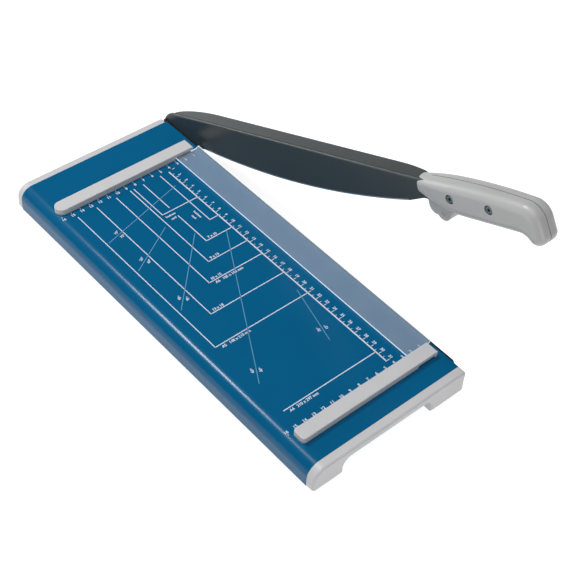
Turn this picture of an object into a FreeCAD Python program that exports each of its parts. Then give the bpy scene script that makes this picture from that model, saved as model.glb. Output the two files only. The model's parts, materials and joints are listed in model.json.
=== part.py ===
import FreeCAD, Part
import os
from math import acos, atan2, cos, degrees, hypot, pi, radians, sin

# Lever-arm paper trimmer, in millimetres.
# X runs across the bed towards the cutting edge, Y runs back towards the hinge, Z is up.
# The shapes are drawn from the bed's right wall, X = 0, from the front of the back paper stop,
# Y = 0, and from the bed's top face, Z = 0.
# The finished parts are moved sideways, so that the origin is in the middle of the fixed blade's
# top face.

# ---------------------------------------------------------------- driving sizes

# The bed: one folded steel sheet, open underneath.
BED_WIDTH = 169.5
BED_FRONT = -352.0
BED_BACK = 51.8
SHEET = 1.2
EDGE_ROLL_RADIUS = 12.0
SKIRT_DROP = 23.0
LIP_WIDTH = 11.5
FOOT_FACE_DROP = 25.0

# The end caps, with an arch between two feet.
FRONT_CAP_DEPTH = 8.5
BACK_CAP_DEPTH = 7.5
CAP_DROP = 24.0
CAP_RIGHT_OVERHANG = 1.5
CAP_CORNER_RADIUS = 3.0
CAP_RIM_RADIUS = 2.2
LEFT_FOOT_WIDTH = 32.5
RIGHT_FOOT_WIDTH = 37.0
ARCH_THICKNESS = 8.5
ARCH_CORNER_RADIUS = 8.0
SPIGOT_DEPTH = 10.0
SPIGOT_HEIGHT = 6.0
SPIGOT_RIGHT = -30.0
CAP_BOSS_HEIGHT = 5.0
CAP_BOSS_WIDTH = 8.0
CAP_SCREW_RADIUS = 1.45
CAP_SCREW_HEAD_RADIUS = 2.6
CAP_PILOT_ROOF = 0.8
CAP_SCREW_TIP_ROOM = 0.4
PAD_LENGTH = 22.0
PAD_WIDTH = 5.5
PAD_RECESS = 1.0

# The fixed blade, a ground bar along the right edge.
FIXED_BLADE_THICKNESS = 1.8
FIXED_BLADE_HEIGHT = 18.0
FIXED_BLADE_FRONT = BED_FRONT + 5.0
FIXED_BLADE_BACK = BED_BACK + 4.2
FIXED_BLADE_TIP_CHAMFER = 3.0
BLADE_SCREW_RADIUS = 2.0
BLADE_SCREW_HEAD_RADIUS = 3.8
BLADE_SCREW_DROP = 9.5
BLADE_SCREW_TIP = 1.0
BLADE_SCREW_COUNT = 5
BLADE_SCREW_FIRST = BED_FRONT + 52.0
BLADE_SCREW_LAST = -10.0
BLADE_NUT_WIDTH = 7.0
BLADE_NUT_HEIGHT = 3.2

# The paper stops and the clear guard strip.
STOP_DEPTH = 13.5
STOP_HEIGHT = 6.0
STOP_EDGE_RADIUS = 0.8
BACK_STOP_LEFT = -161.0
BACK_STOP_RIGHT = -7.0
BACK_STOP_WALL = 1.5
FRONT_STOP_BACK = BED_FRONT + 33.0
FRONT_STOP_LEFT = -157.0
FRONT_STOP_RIGHT = -6.0
FRONT_STOP_CORNER_RADIUS = 3.0
GUARD_LEFT = -27.5
GUARD_RIGHT = -0.6
GUARD_THICKNESS = 1.5
GUARD_LIFT = 1.0
GUARD_LIP_RISE = 2.0
GUARD_LIP_RUN = 3.0
GUARD_TONGUE_RIGHT = -9.5
GUARD_TONGUE_LENGTH = 11.0
BRIDGE_LEFT = -28.5
BRIDGE_RIGHT = -8.5
STOP_SCREW_RADIUS = 1.75
STOP_SCREW_HEAD_RADIUS = 3.5
STOP_SCREW_HEAD_HEIGHT = 2.4
STOP_SCREW_LEFT = -140.0
STOP_SCREW_RIGHT = -18.5
STOP_SCREW_DEPTH = 4.6
STOP_SCREW_TIP_ROOM = 0.2
SPACER_RADIUS = 4.5

# The hinge of the arm.
PIVOT_Y = 33.0
PIVOT_DROP = 8.0
PIVOT_RADIUS = 4.0
PIVOT_RUNNING_FIT = 0.05
PIVOT_HEAD_WIDTH = 13.0
PIVOT_HEAD_HEIGHT = 5.0
PIVOT_BLOCK_THICKNESS = 14.0
PIVOT_BLOCK_LENGTH = 26.0
PIVOT_BLOCK_HEIGHT = 15.0
PIVOT_BLOCK_CORNER = 2.0
PIVOT_BLOCK_BACK_ROOM = 2.0
PIVOT_BOLT_TIP = 1.5
WASHER_RADIUS = 9.0
WASHER_THICKNESS = 1.2
DISC_SPRING_THICKNESS = 0.9
DISC_SPRING_RISE = 0.7
DISC_SPRING_ROOM = 0.3
DISC_SPRING_INSET = 0.5
LOCK_NUT_HEIGHT = 7.0

# The blade arm, an L section of steel: a deep web and a flange turned outwards.
# Its stations are distances forward of the hinge; the far ones go with the bed's front end.
FRONT_END = PIVOT_Y - BED_FRONT
ARM_GAP = 0.2
ARM_THICKNESS = 2.0
BEND_RADIUS = 2.0
FLANGE_RIGHT = 18.9
FLANGE_RISE = 24.65
FLANGE_ROOT_LENGTH = 55.0
FLANGE_TAPER_START = FRONT_END - 75.0
FLANGE_TAPER_END = FRONT_END - 44.1
FLANGE_TAPER_RIGHT = 15.6
FLANGE_END = FRONT_END - 33.0
FLANGE_END_RIGHT = 11.0
WEB_START = 40.5
WEB_START_DEPTH = 30.9
WEB_DEEPEST = 0.41 * FRONT_END
WEB_DEPTH = 38.1
WEB_TIP = FRONT_END - 55.0
WEB_TIP_DEPTH = 22.6
EDGE_BEVEL_HEIGHT = 3.0
EDGE_LAND = 0.3
HUB_RADIUS = 15.0
HEEL_FLAT_RAISE = 60.0
TONGUE_END = FRONT_END + 49.0
TONGUE_TOP = 2.0
TONGUE_BOTTOM = 16.5
TONGUE_CHAMFER = 3.5

# The moulded grip, two halves clamped on the arm's tongue.
GRIP_START = FRONT_END - 41.1
GRIP_FULL = FRONT_END
GRIP_END = FRONT_END + 87.9
GRIP_LEFT = -3.0
GRIP_RIGHT = 20.0
GRIP_SEAM = 8.5
GRIP_MOUTH_LEFT = 1.0
GRIP_MOUTH_RIGHT = 16.6
GRIP_MOUTH_TOP = -1.2
GRIP_MOUTH_BOTTOM = 15.0
GRIP_CROWN = FRONT_END + 15.0
GRIP_CROWN_TOP = -4.4
GRIP_BOTTOM = 23.3
GRIP_EDGE_RADIUS = 7.2
# Three points round the front corner, each as (back from the end, below the crown).
GRIP_CORNER = ((15.9, 2.2), (6.2, 7.1), (1.9, 16.4))
GRIP_BELLY_RUN = 10.0
GRIP_BELLY_RISE = 1.8
GRIP_BELLY_SAG = 0.45
GRIP_CAVITY = (FRONT_END - 9.0, FRONT_END + 73.0)
GRIP_CAVITY_TOP = 0.5
GRIP_CAVITY_BOTTOM = 17.5
GRIP_CAVITY_RIGHT = 16.5
GRIP_CAVITY_CORNER = 4.0
HOOK_START = FRONT_END + 65.0
HOOK_TIP_RADIUS = 7.6
HOOK_TIP_DEPTH = 30.6
HOOK_SLOPE = 52.0
HOOK_HOLLOW_RUN = 5.1
HOOK_HOLLOW_DROP = 1.15
SEAM_GROOVE = 0.8
SEAM_GROOVE_START = FRONT_END - 30.0
SEAM_GROOVE_LOW_END = 6.0
TONGUE_ROOM = 0.15
TONGUE_END_ROOM = 0.5
GRIP_BOLTS = (FRONT_END - 2.4, FRONT_END + 38.6)
GRIP_BOLT_DEPTH = 8.5
GRIP_BOLT_RADIUS = 2.0
GRIP_BOLT_HEAD_RADIUS = 3.6
GRIP_BOLT_HEAD_HEIGHT = 2.4
GRIP_BOLT_HEAD_EDGE = 1.0
GRIP_BOLT_SOCKET_WIDTH = 2.5
GRIP_BOLT_SOCKET_DEPTH = 1.5
GRIP_RECESS_RADIUS = 4.2
GRIP_RECESS_DEPTH = 3.0
GRIP_BOSS_RADIUS = 5.5
GRIP_NUT_SEAT = 14.0
GRIP_NUT_WIDTH = 7.0
GRIP_NUT_HEIGHT = 3.2

# The arm lock, a pin that slides sideways in a barrel under the grip.
LOCK_FORWARD = FRONT_END - 17.0
LOCK_DEPTH = 26.2
LOCK_BARREL_RADIUS = 7.6
LOCK_BARREL_RISE = 1.2
LOCK_BARREL_RIGHT = 17.0
LOCK_PIN_RADIUS = 1.6
LOCK_FIT = 0.08
LOCK_NOSE_SETBACK = 0.1
LOCK_NOSE_RADIUS = 0.8
LOCK_TRAVEL = 8.0
LOCK_KNOB_RADIUS = 5.5
LOCK_KNOB_THICKNESS = 4.0
LOCK_KNOB_EDGE = 1.2
LOCK_KNOB_WALL = 1.0
LOCK_KNOB_ROOM = 0.5
LOCK_HOLE_ROOM = 0.35
TAB_START = FRONT_END - 32.6
TAB_END = FRONT_END - 7.0
TAB_OVERLAP = 1.5
TAB_KNEE_RUN = 0.4
TAB_KNEE_RISE = 3.7
TAB_CURVE_RUN = 3.2
TAB_CURVE_DROP = 0.6
TAB_TOE_RUN = 9.5
TAB_TOE_DROP = 2.4

# Angles of the arm, measured up from level.
ARM_RAISED = 23.8
ARM_CLOSED = 1.0

# General clearances.
SCREW_ROOM = 0.1
THREAD_ROOM = 0.02
SIDE_ROOM = 0.4

# Working values: how far a cutting shape runs past the face it cuts, how far one shape reaches into
# the shape that it is fused to, and how near an edge must lie to the place it is picked by.
PAST = 1.0
FUSE_DEPTH = 0.5
PICK = 0.1

# ---------------------------------------------------------------- derived places

PIVOT_Z = -PIVOT_DROP
ARM_LEFT = FIXED_BLADE_THICKNESS + ARM_GAP
ARM_RIGHT = ARM_LEFT + ARM_THICKNESS
CAP_FRONT = BED_FRONT - FRONT_CAP_DEPTH
CAP_BACK = BED_BACK + BACK_CAP_DEPTH
STOP_SCREW_ROWS = (STOP_DEPTH / 2, FRONT_STOP_BACK - STOP_DEPTH / 2)
BRIDGE_HEIGHT = GUARD_LIFT + GUARD_THICKNESS + SCREW_ROOM
BARREL_LEFT = ARM_LEFT + SIDE_ROOM
ORIGIN_SHIFT = -FIXED_BLADE_THICKNESS / 2


# ---------------------------------------------------------------- shape helpers

def vec(x, y, z):
    return FreeCAD.Vector(x, y, z)


def box(x_low, x_high, y_low, y_high, z_low, z_high):
    corner = vec(x_low, y_low, z_low)
    return Part.makeBox(x_high - x_low, y_high - y_low, z_high - z_low, corner)


def rod_x(x_low, x_high, y, z, radius):
    return Part.makeCylinder(radius, x_high - x_low, vec(x_low, y, z), vec(1, 0, 0))


def rod_z(x, y, z_low, z_high, radius):
    return Part.makeCylinder(radius, z_high - z_low, vec(x, y, z_low), vec(0, 0, 1))


def line(start, end):
    return Part.LineSegment(start, end).toShape()


def arc(start, middle, end):
    return Part.Arc(start, middle, end).toShape()


def quarter(centre, start, end):
    """Quarter circle from start to end about centre."""
    bulge = (start - centre) + (end - centre)
    bulge.normalize()
    middle = centre + bulge * (start - centre).Length
    return arc(start, middle, end)


def prism(edges, sweep):
    """Solid swept from a closed outline."""
    face = Part.Face(Part.Wire(edges))
    return face.extrude(sweep)


def polygon(points):
    """Closed outline of straight edges through the points."""
    following = points[1:] + points[:1]
    return [line(start, end) for start, end in zip(points, following)]


def hexagon_x(x_low, x_high, y, z, across_flats):
    """Hexagonal prism along X."""
    corner_radius = across_flats / 2 / cos(radians(30))
    corners = []
    for step in range(6):
        angle = radians(60 * step)
        corners.append(vec(x_low, y + corner_radius * cos(angle), z + corner_radius * sin(angle)))
    return prism(polygon(corners), vec(x_high - x_low, 0, 0))


def spaced(first, last, count):
    step = (last - first) / (count - 1)
    return [first + step * number for number in range(count)]


def joined(solids):
    result = solids[0]
    for solid in solids[1:]:
        result = result.fuse(solid)
    return result.removeSplitter()


def fillet_along(solid, radius, wanted):
    """Round every edge for which wanted(edge) is true."""
    edges = [edge for edge in solid.Edges if wanted(edge)]
    return solid.makeFillet(radius, edges)


def edge_middle(edge):
    return edge.valueAt((edge.FirstParameter + edge.LastParameter) / 2)


def upright(edge):
    return abs(edge.tangentAt(edge.FirstParameter).z) > 0.99


def runs_across(edge):
    return abs(edge.tangentAt(edge.FirstParameter).x) > 0.99


# ---------------------------------------------------------------- the bed

def bed_outline_top(y):
    """Edges from the bottom right corner over the top to the bottom left corner, outside."""
    roll_top = vec(-BED_WIDTH + EDGE_ROLL_RADIUS, y, 0)
    roll_side = vec(-BED_WIDTH, y, -EDGE_ROLL_RADIUS)
    roll_centre = vec(-BED_WIDTH + EDGE_ROLL_RADIUS, y, -EDGE_ROLL_RADIUS)
    return [
        line(vec(0, y, -SKIRT_DROP), vec(0, y, 0)),
        line(vec(0, y, 0), roll_top),
        quarter(roll_centre, roll_top, roll_side),
        line(roll_side, vec(-BED_WIDTH, y, -SKIRT_DROP)),
    ]


def bed_outline_inside(y):
    """Edges of the sheet's inner side, from the left lip back to the right lip."""
    inner_radius = EDGE_ROLL_RADIUS - SHEET
    lip_top = SHEET - SKIRT_DROP
    left = SHEET - BED_WIDTH
    roll_top = vec(left + inner_radius, y, -SHEET)
    roll_side = vec(left, y, -EDGE_ROLL_RADIUS)
    roll_centre = vec(left + inner_radius, y, -EDGE_ROLL_RADIUS)
    return [
        line(vec(-BED_WIDTH, y, -SKIRT_DROP), vec(LIP_WIDTH - BED_WIDTH, y, -SKIRT_DROP)),
        line(vec(LIP_WIDTH - BED_WIDTH, y, -SKIRT_DROP), vec(LIP_WIDTH - BED_WIDTH, y, lip_top)),
        line(vec(LIP_WIDTH - BED_WIDTH, y, lip_top), vec(left, y, lip_top)),
        line(vec(left, y, lip_top), roll_side),
        quarter(roll_centre, roll_side, roll_top),
        line(roll_top, vec(-SHEET, y, -SHEET)),
        line(vec(-SHEET, y, -SHEET), vec(-SHEET, y, lip_top)),
        line(vec(-SHEET, y, lip_top), vec(-LIP_WIDTH, y, lip_top)),
        line(vec(-LIP_WIDTH, y, lip_top), vec(-LIP_WIDTH, y, -SKIRT_DROP)),
        line(vec(-LIP_WIDTH, y, -SKIRT_DROP), vec(0, y, -SKIRT_DROP)),
    ]


def blade_screw_places():
    return spaced(BLADE_SCREW_FIRST, BLADE_SCREW_LAST, BLADE_SCREW_COUNT)


def stop_screw_places():
    """(x, y) of the four screws that hold the two paper stops."""
    return [(x, y) for y in STOP_SCREW_ROWS for x in (STOP_SCREW_LEFT, STOP_SCREW_RIGHT)]


def cap_screw_places():
    """(x, y) of the four screws that hold the end caps, in the middle of each cap's bosses."""
    inset = LIP_WIDTH / 2 + SHEET
    rows = (BED_FRONT + SPIGOT_DEPTH / 2, BED_BACK - SPIGOT_DEPTH / 2)
    return [(x, y) for y in rows for x in (-inset, inset - BED_WIDTH)]


def lock_hole_place():
    """(y, z) of the lock pin's axis when the arm is closed."""
    height = FLANGE_RISE - LOCK_DEPTH
    angle = radians(ARM_CLOSED)
    forward = LOCK_FORWARD * cos(angle) - height * sin(angle)
    rise = LOCK_FORWARD * sin(angle) + height * cos(angle)
    return PIVOT_Y - forward, PIVOT_Z + rise


def lock_hole():
    y, z = lock_hole_place()
    return rod_x(-2 * SHEET, 2 * FIXED_BLADE_THICKNESS, y, z, LOCK_PIN_RADIUS + LOCK_HOLE_ROOM)


def cap_screw_cone(x, y, room):
    """Countersunk head in the bed's lip, tip up."""
    head_radius = CAP_SCREW_HEAD_RADIUS + room
    shank_radius = CAP_SCREW_RADIUS + room
    return Part.makeCone(head_radius, shank_radius, SHEET, vec(x, y, -SKIRT_DROP), vec(0, 0, 1))


def bed_plate():
    edges = bed_outline_top(BED_FRONT) + bed_outline_inside(BED_FRONT)
    plate = prism(edges, vec(0, BED_BACK - BED_FRONT, 0))
    for y in blade_screw_places():
        hole = rod_x(-2 * SHEET, SHEET, y, -BLADE_SCREW_DROP, BLADE_SCREW_RADIUS + SCREW_ROOM)
        plate = plate.cut(hole)
    for x, y in stop_screw_places():
        plate = plate.cut(rod_z(x, y, -2 * SHEET, SHEET, STOP_SCREW_RADIUS + SCREW_ROOM))
    for x, y in cap_screw_places():
        plate = plate.cut(cap_screw_cone(x, y, SCREW_ROOM))
    plate = plate.cut(rod_x(-2 * SHEET, SHEET, PIVOT_Y, PIVOT_Z, PIVOT_RADIUS + SCREW_ROOM))
    return plate.cut(lock_hole())


# ---------------------------------------------------------------- end caps

def cap_outline(y, right):
    """Outline of an end cap: the bed's section, closed along the feet, with the arch cut up into it."""
    left = -BED_WIDTH
    corner = CAP_CORNER_RADIUS
    arch_left = left + LEFT_FOOT_WIDTH
    arch_right = -RIGHT_FOOT_WIDTH
    arch_top = -ARCH_THICKNESS
    curve = ARCH_CORNER_RADIUS
    return [
        line(vec(right, y, corner - CAP_DROP), vec(right, y, -corner)),
        quarter(vec(right - corner, y, -corner), vec(right, y, -corner), vec(right - corner, y, 0)),
        line(vec(right - corner, y, 0), vec(left + EDGE_ROLL_RADIUS, y, 0)),
        quarter(vec(left + EDGE_ROLL_RADIUS, y, -EDGE_ROLL_RADIUS),
                vec(left + EDGE_ROLL_RADIUS, y, 0), vec(left, y, -EDGE_ROLL_RADIUS)),
        line(vec(left, y, -EDGE_ROLL_RADIUS), vec(left, y, corner - CAP_DROP)),
        quarter(vec(left + corner, y, corner - CAP_DROP),
                vec(left, y, corner - CAP_DROP), vec(left + corner, y, -CAP_DROP)),
        line(vec(left + corner, y, -CAP_DROP), vec(arch_left, y, -CAP_DROP)),
        line(vec(arch_left, y, -CAP_DROP), vec(arch_left, y, arch_top - curve)),
        quarter(vec(arch_left + curve, y, arch_top - curve),
                vec(arch_left, y, arch_top - curve), vec(arch_left + curve, y, arch_top)),
        line(vec(arch_left + curve, y, arch_top), vec(arch_right - curve, y, arch_top)),
        quarter(vec(arch_right - curve, y, arch_top - curve),
                vec(arch_right - curve, y, arch_top), vec(arch_right, y, arch_top - curve)),
        line(vec(arch_right, y, arch_top - curve), vec(arch_right, y, -CAP_DROP)),
        line(vec(arch_right, y, -CAP_DROP), vec(right - corner, y, -CAP_DROP)),
        quarter(vec(right - corner, y, corner - CAP_DROP),
                vec(right - corner, y, -CAP_DROP), vec(right, y, corner - CAP_DROP)),
    ]


def pad_centres():
    """(x, y) of the four rubber pads, under the middle of each foot."""
    left = -BED_WIDTH + LEFT_FOOT_WIDTH / 2
    right = -RIGHT_FOOT_WIDTH / 2
    front = (CAP_FRONT + BED_FRONT) / 2
    back = (CAP_BACK + BED_BACK) / 2
    return [(x, y) for y in (front, back) for x in (left, right)]


def rubber_pad(x, y, room):
    half_length = PAD_LENGTH / 2 + room
    half_width = PAD_WIDTH / 2 + room
    low = -FOOT_FACE_DROP
    high = PAD_RECESS - CAP_DROP
    return box(x - half_length, x + half_length, y - half_width, y + half_width, low, high)


def end_cap(outer_y, inner_y, right, inward):
    """Moulded end cap. inward is +1 or -1, the way its spigot points along Y."""
    low_y = min(outer_y, inner_y)
    cap = prism(cap_outline(low_y, right), vec(0, abs(outer_y - inner_y), 0))
    rim = [edge for edge in cap.Edges if follows_outer_rim(edge, outer_y)]
    cap = cap.makeFillet(CAP_RIM_RADIUS, rim)
    spigot_end = inner_y + inward * SPIGOT_DEPTH
    y_low, y_high = sorted((inner_y - inward * FUSE_DEPTH, spigot_end))
    spigot_left = EDGE_ROLL_RADIUS - BED_WIDTH
    spigot_top = -SHEET - SCREW_ROOM
    spigot_low = spigot_top - SPIGOT_HEIGHT
    cap = cap.fuse(box(spigot_left, SPIGOT_RIGHT, y_low, y_high, spigot_low, spigot_top))
    boss_low = SHEET + SCREW_ROOM - SKIRT_DROP
    for x, y in cap_screw_places():
        if abs(y - inner_y) > SPIGOT_DEPTH:
            continue
        half = CAP_BOSS_WIDTH / 2
        boss = box(x - half, x + half, y_low, y_high, boss_low, boss_low + CAP_BOSS_HEIGHT)
        cap = cap.fuse(boss)
        pilot_top = boss_low + CAP_BOSS_HEIGHT - CAP_PILOT_ROOF
        cap = cap.cut(rod_z(x, y, boss_low - PAST, pilot_top, CAP_SCREW_RADIUS))
    for x, y in pad_centres():
        cap = cap.cut(rubber_pad(x, y, 0))
    return cap.removeSplitter()


def follows_outer_rim(edge, outer_y):
    """Edges around the cap's outer face, apart from the feet's bottom edges."""
    middle = edge_middle(edge)
    ends = [vertex.Point for vertex in edge.Vertexes]
    on_face = all(abs(point.y - outer_y) < PICK for point in ends)
    return on_face and middle.z > PICK - CAP_DROP


def back_end_cap():
    return end_cap(CAP_BACK, BED_BACK, -SCREW_ROOM, -1)


def front_end_cap():
    return end_cap(CAP_FRONT, BED_FRONT, CAP_RIGHT_OVERHANG, 1)


def rubber_feet():
    return [rubber_pad(x, y, 0) for x, y in pad_centres()]


def cap_screws():
    screws = []
    for x, y in cap_screw_places():
        lip_top = SHEET - SKIRT_DROP
        shank_top = lip_top + CAP_BOSS_HEIGHT - CAP_PILOT_ROOF - CAP_SCREW_TIP_ROOM
        shank = rod_z(x, y, lip_top, shank_top, CAP_SCREW_RADIUS)
        screws.append(cap_screw_cone(x, y, 0).fuse(shank).removeSplitter())
    return screws


# ---------------------------------------------------------------- fixed blade and its fasteners

def blade_screw_cone(y, room):
    """Countersunk head in the fixed blade's outer face."""
    return Part.makeCone(
        BLADE_SCREW_RADIUS + room, BLADE_SCREW_HEAD_RADIUS + room, FIXED_BLADE_THICKNESS,
        vec(0, y, -BLADE_SCREW_DROP), vec(1, 0, 0))


def fixed_blade():
    chamfer = FIXED_BLADE_TIP_CHAMFER
    corners = [
        vec(0, FIXED_BLADE_FRONT, -FIXED_BLADE_HEIGHT),
        vec(0, FIXED_BLADE_BACK, -FIXED_BLADE_HEIGHT),
        vec(0, FIXED_BLADE_BACK, 0),
        vec(0, FIXED_BLADE_FRONT + chamfer, 0),
        vec(0, FIXED_BLADE_FRONT, -chamfer),
    ]
    blade = prism(polygon(corners), vec(FIXED_BLADE_THICKNESS, 0, 0))
    for y in blade_screw_places():
        blade = blade.cut(blade_screw_cone(y, SCREW_ROOM))
    pivot_hole_radius = PIVOT_RADIUS + SCREW_ROOM
    blade = blade.cut(rod_x(-PAST, 2 * FIXED_BLADE_THICKNESS, PIVOT_Y, PIVOT_Z, pivot_hole_radius))
    return blade.cut(lock_hole())


def blade_screws():
    screws = []
    for y in blade_screw_places():
        tip = -SHEET - BLADE_NUT_HEIGHT - BLADE_SCREW_TIP
        shank = rod_x(tip, 0, y, -BLADE_SCREW_DROP, BLADE_SCREW_RADIUS)
        screws.append(blade_screw_cone(y, 0).fuse(shank).removeSplitter())
    return screws


def blade_nuts():
    nuts = []
    for y in blade_screw_places():
        nut = hexagon_x(-SHEET - BLADE_NUT_HEIGHT, -SHEET, y, -BLADE_SCREW_DROP, BLADE_NUT_WIDTH)
        thread_radius = BLADE_SCREW_RADIUS + THREAD_ROOM
        thread = rod_x(-2 * SHEET - BLADE_NUT_HEIGHT, 0, y, -BLADE_SCREW_DROP, thread_radius)
        nuts.append(nut.cut(thread))
    return nuts


# ---------------------------------------------------------------- paper stops and guard

def bridge(y_low, y_high):
    """Room under the right end of a stop for the guard's tongue and its spacer."""
    return box(BRIDGE_LEFT, BRIDGE_RIGHT, y_low, y_high, -PAST, BRIDGE_HEIGHT)


def stop_pilot(x, y):
    return rod_z(x, y, -PAST, STOP_SCREW_DEPTH, STOP_SCREW_RADIUS)


def back_stop():
    """Bar with a full round left end, standing across the back of the bed."""
    radius = STOP_DEPTH / 2
    left = BACK_STOP_LEFT + radius
    edges = [
        line(vec(left, 0, 0), vec(BACK_STOP_RIGHT, 0, 0)),
        line(vec(BACK_STOP_RIGHT, 0, 0), vec(BACK_STOP_RIGHT, STOP_DEPTH, 0)),
        line(vec(BACK_STOP_RIGHT, STOP_DEPTH, 0), vec(left, STOP_DEPTH, 0)),
        arc(vec(left, STOP_DEPTH, 0), vec(BACK_STOP_LEFT, radius, 0), vec(left, 0, 0)),
    ]
    bar = prism(edges, vec(0, 0, STOP_HEIGHT))
    bar = fillet_along(bar, STOP_EDGE_RADIUS, lambda edge: edge_middle(edge).z > STOP_HEIGHT - PICK)
    bar = bar.cut(bridge(-PAST, STOP_DEPTH - BACK_STOP_WALL))
    for x, y in stop_screw_places():
        bar = bar.cut(stop_pilot(x, y))
    return bar


def front_stop():
    """Bar with two rounded corners at its left end, across the front of the bed."""
    radius = FRONT_STOP_CORNER_RADIUS
    left = FRONT_STOP_LEFT
    back = FRONT_STOP_BACK
    front = back - STOP_DEPTH
    front_centre = vec(left + radius, front + radius, 0)
    back_centre = vec(left + radius, back - radius, 0)
    edges = [
        line(vec(left + radius, front, 0), vec(FRONT_STOP_RIGHT, front, 0)),
        line(vec(FRONT_STOP_RIGHT, front, 0), vec(FRONT_STOP_RIGHT, back, 0)),
        line(vec(FRONT_STOP_RIGHT, back, 0), vec(left + radius, back, 0)),
        quarter(back_centre, vec(left + radius, back, 0), vec(left, back - radius, 0)),
        line(vec(left, back - radius, 0), vec(left, front + radius, 0)),
        quarter(front_centre, vec(left, front + radius, 0), vec(left + radius, front, 0)),
    ]
    bar = prism(edges, vec(0, 0, STOP_HEIGHT))
    bar = fillet_along(bar, STOP_EDGE_RADIUS, lambda edge: edge_middle(edge).z > STOP_HEIGHT - PICK)
    bar = bar.cut(bridge(front - PAST, back + PAST))
    for x, y in stop_screw_places():
        bar = bar.cut(stop_pilot(x, y))
    return bar


def stop_screws():
    screws = []
    for x, y in stop_screw_places():
        head_low = -SHEET - STOP_SCREW_HEAD_HEIGHT
        head = rod_z(x, y, head_low, -SHEET, STOP_SCREW_HEAD_RADIUS)
        shank = rod_z(x, y, head_low, STOP_SCREW_DEPTH - STOP_SCREW_TIP_ROOM, STOP_SCREW_RADIUS)
        screws.append(head.fuse(shank).removeSplitter())
    return screws


def clear_guard():
    """Clear strip over the cutting line, with a rim turned up and a tongue under each stop."""
    low = GUARD_LIFT
    high = GUARD_LIFT + GUARD_THICKNESS
    rim_start = GUARD_RIGHT - GUARD_LIP_RUN
    front = FRONT_STOP_BACK + SCREW_ROOM
    back = -SCREW_ROOM
    corners = [
        vec(GUARD_LEFT, front, low),
        vec(rim_start, front, low),
        vec(GUARD_RIGHT, front, low + GUARD_LIP_RISE),
        vec(GUARD_RIGHT, front, high + GUARD_LIP_RISE),
        vec(rim_start, front, high),
        vec(GUARD_LEFT, front, high),
    ]
    guard = prism(polygon(corners), vec(0, back - front, 0))
    tongue_back = GUARD_TONGUE_LENGTH
    tongue_front = FRONT_STOP_BACK - GUARD_TONGUE_LENGTH
    guard = guard.fuse(box(GUARD_LEFT, GUARD_TONGUE_RIGHT, tongue_front, tongue_back, low, high))
    for x, y in stop_screw_places():
        guard = guard.cut(rod_z(x, y, low - PAST, high + PAST, STOP_SCREW_RADIUS + SCREW_ROOM))
    return guard.removeSplitter()


def guard_spacers():
    """Ring under each tongue, which leaves the paper its gap under the strip."""
    spacers = []
    for y in STOP_SCREW_ROWS:
        ring = rod_z(STOP_SCREW_RIGHT, y, 0, GUARD_LIFT, SPACER_RADIUS)
        hole_radius = STOP_SCREW_RADIUS + SCREW_ROOM
        hole = rod_z(STOP_SCREW_RIGHT, y, -PAST, GUARD_LIFT + PAST, hole_radius)
        spacers.append(ring.cut(hole))
    return spacers


# ---------------------------------------------------------------- hinge

def pivot_stack():
    """X of the faces outside the arm: spring, washer, bolt head."""
    spring_start = ARM_RIGHT + SCREW_ROOM
    washer_start = spring_start + DISC_SPRING_THICKNESS + DISC_SPRING_RISE
    head_start = washer_start + WASHER_THICKNESS
    return spring_start, washer_start, head_start


def pivot_block():
    left = -SHEET - PIVOT_BLOCK_THICKNESS
    half = PIVOT_BLOCK_LENGTH / 2
    top = -SHEET - SCREW_ROOM
    back = PIVOT_Y + half - PIVOT_BLOCK_BACK_ROOM
    block = box(left, -SHEET, PIVOT_Y - half, back, top - PIVOT_BLOCK_HEIGHT, top)
    block = fillet_along(
        block, PIVOT_BLOCK_CORNER,
        lambda edge: upright(edge) and edge_middle(edge).x < left + PICK)
    return block.cut(rod_x(left - PAST, PAST, PIVOT_Y, PIVOT_Z, PIVOT_RADIUS + SCREW_ROOM))


def pivot_bolt():
    head_start = pivot_stack()[2]
    nut_end = -SHEET - PIVOT_BLOCK_THICKNESS - LOCK_NUT_HEIGHT
    shank = rod_x(nut_end - PIVOT_BOLT_TIP, head_start, PIVOT_Y, PIVOT_Z, PIVOT_RADIUS)
    head = hexagon_x(head_start, head_start + PIVOT_HEAD_HEIGHT, PIVOT_Y, PIVOT_Z, PIVOT_HEAD_WIDTH)
    return shank.fuse(head).removeSplitter()


def pivot_washer():
    start = pivot_stack()[1]
    end = start + WASHER_THICKNESS
    ring = rod_x(start, end, PIVOT_Y, PIVOT_Z, WASHER_RADIUS)
    hole = rod_x(start - PAST, end + PAST, PIVOT_Y, PIVOT_Z, PIVOT_RADIUS + SCREW_ROOM)
    return ring.cut(hole)


def disc_spring():
    """Dished washer whose pressure holds the arm where it is put."""
    start, end = pivot_stack()[:2]
    inner = PIVOT_RADIUS + DISC_SPRING_ROOM
    outer = WASHER_RADIUS - DISC_SPRING_INSET
    section = [
        vec(start, PIVOT_Y, PIVOT_Z + outer),
        vec(start + DISC_SPRING_THICKNESS, PIVOT_Y, PIVOT_Z + outer),
        vec(end, PIVOT_Y, PIVOT_Z + inner),
        vec(end - DISC_SPRING_THICKNESS, PIVOT_Y, PIVOT_Z + inner),
    ]
    face = Part.Face(Part.Wire(polygon(section)))
    return face.revolve(vec(0, PIVOT_Y, PIVOT_Z), vec(1, 0, 0), 360)


def pivot_nut():
    end = -SHEET - PIVOT_BLOCK_THICKNESS
    nut = hexagon_x(end - LOCK_NUT_HEIGHT, end, PIVOT_Y, PIVOT_Z, PIVOT_HEAD_WIDTH)
    thread_radius = PIVOT_RADIUS + THREAD_ROOM
    thread = rod_x(end - LOCK_NUT_HEIGHT - PAST, end + PAST, PIVOT_Y, PIVOT_Z, thread_radius)
    return nut.cut(thread)


# ---------------------------------------------------------------- arm, drawn level

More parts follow.
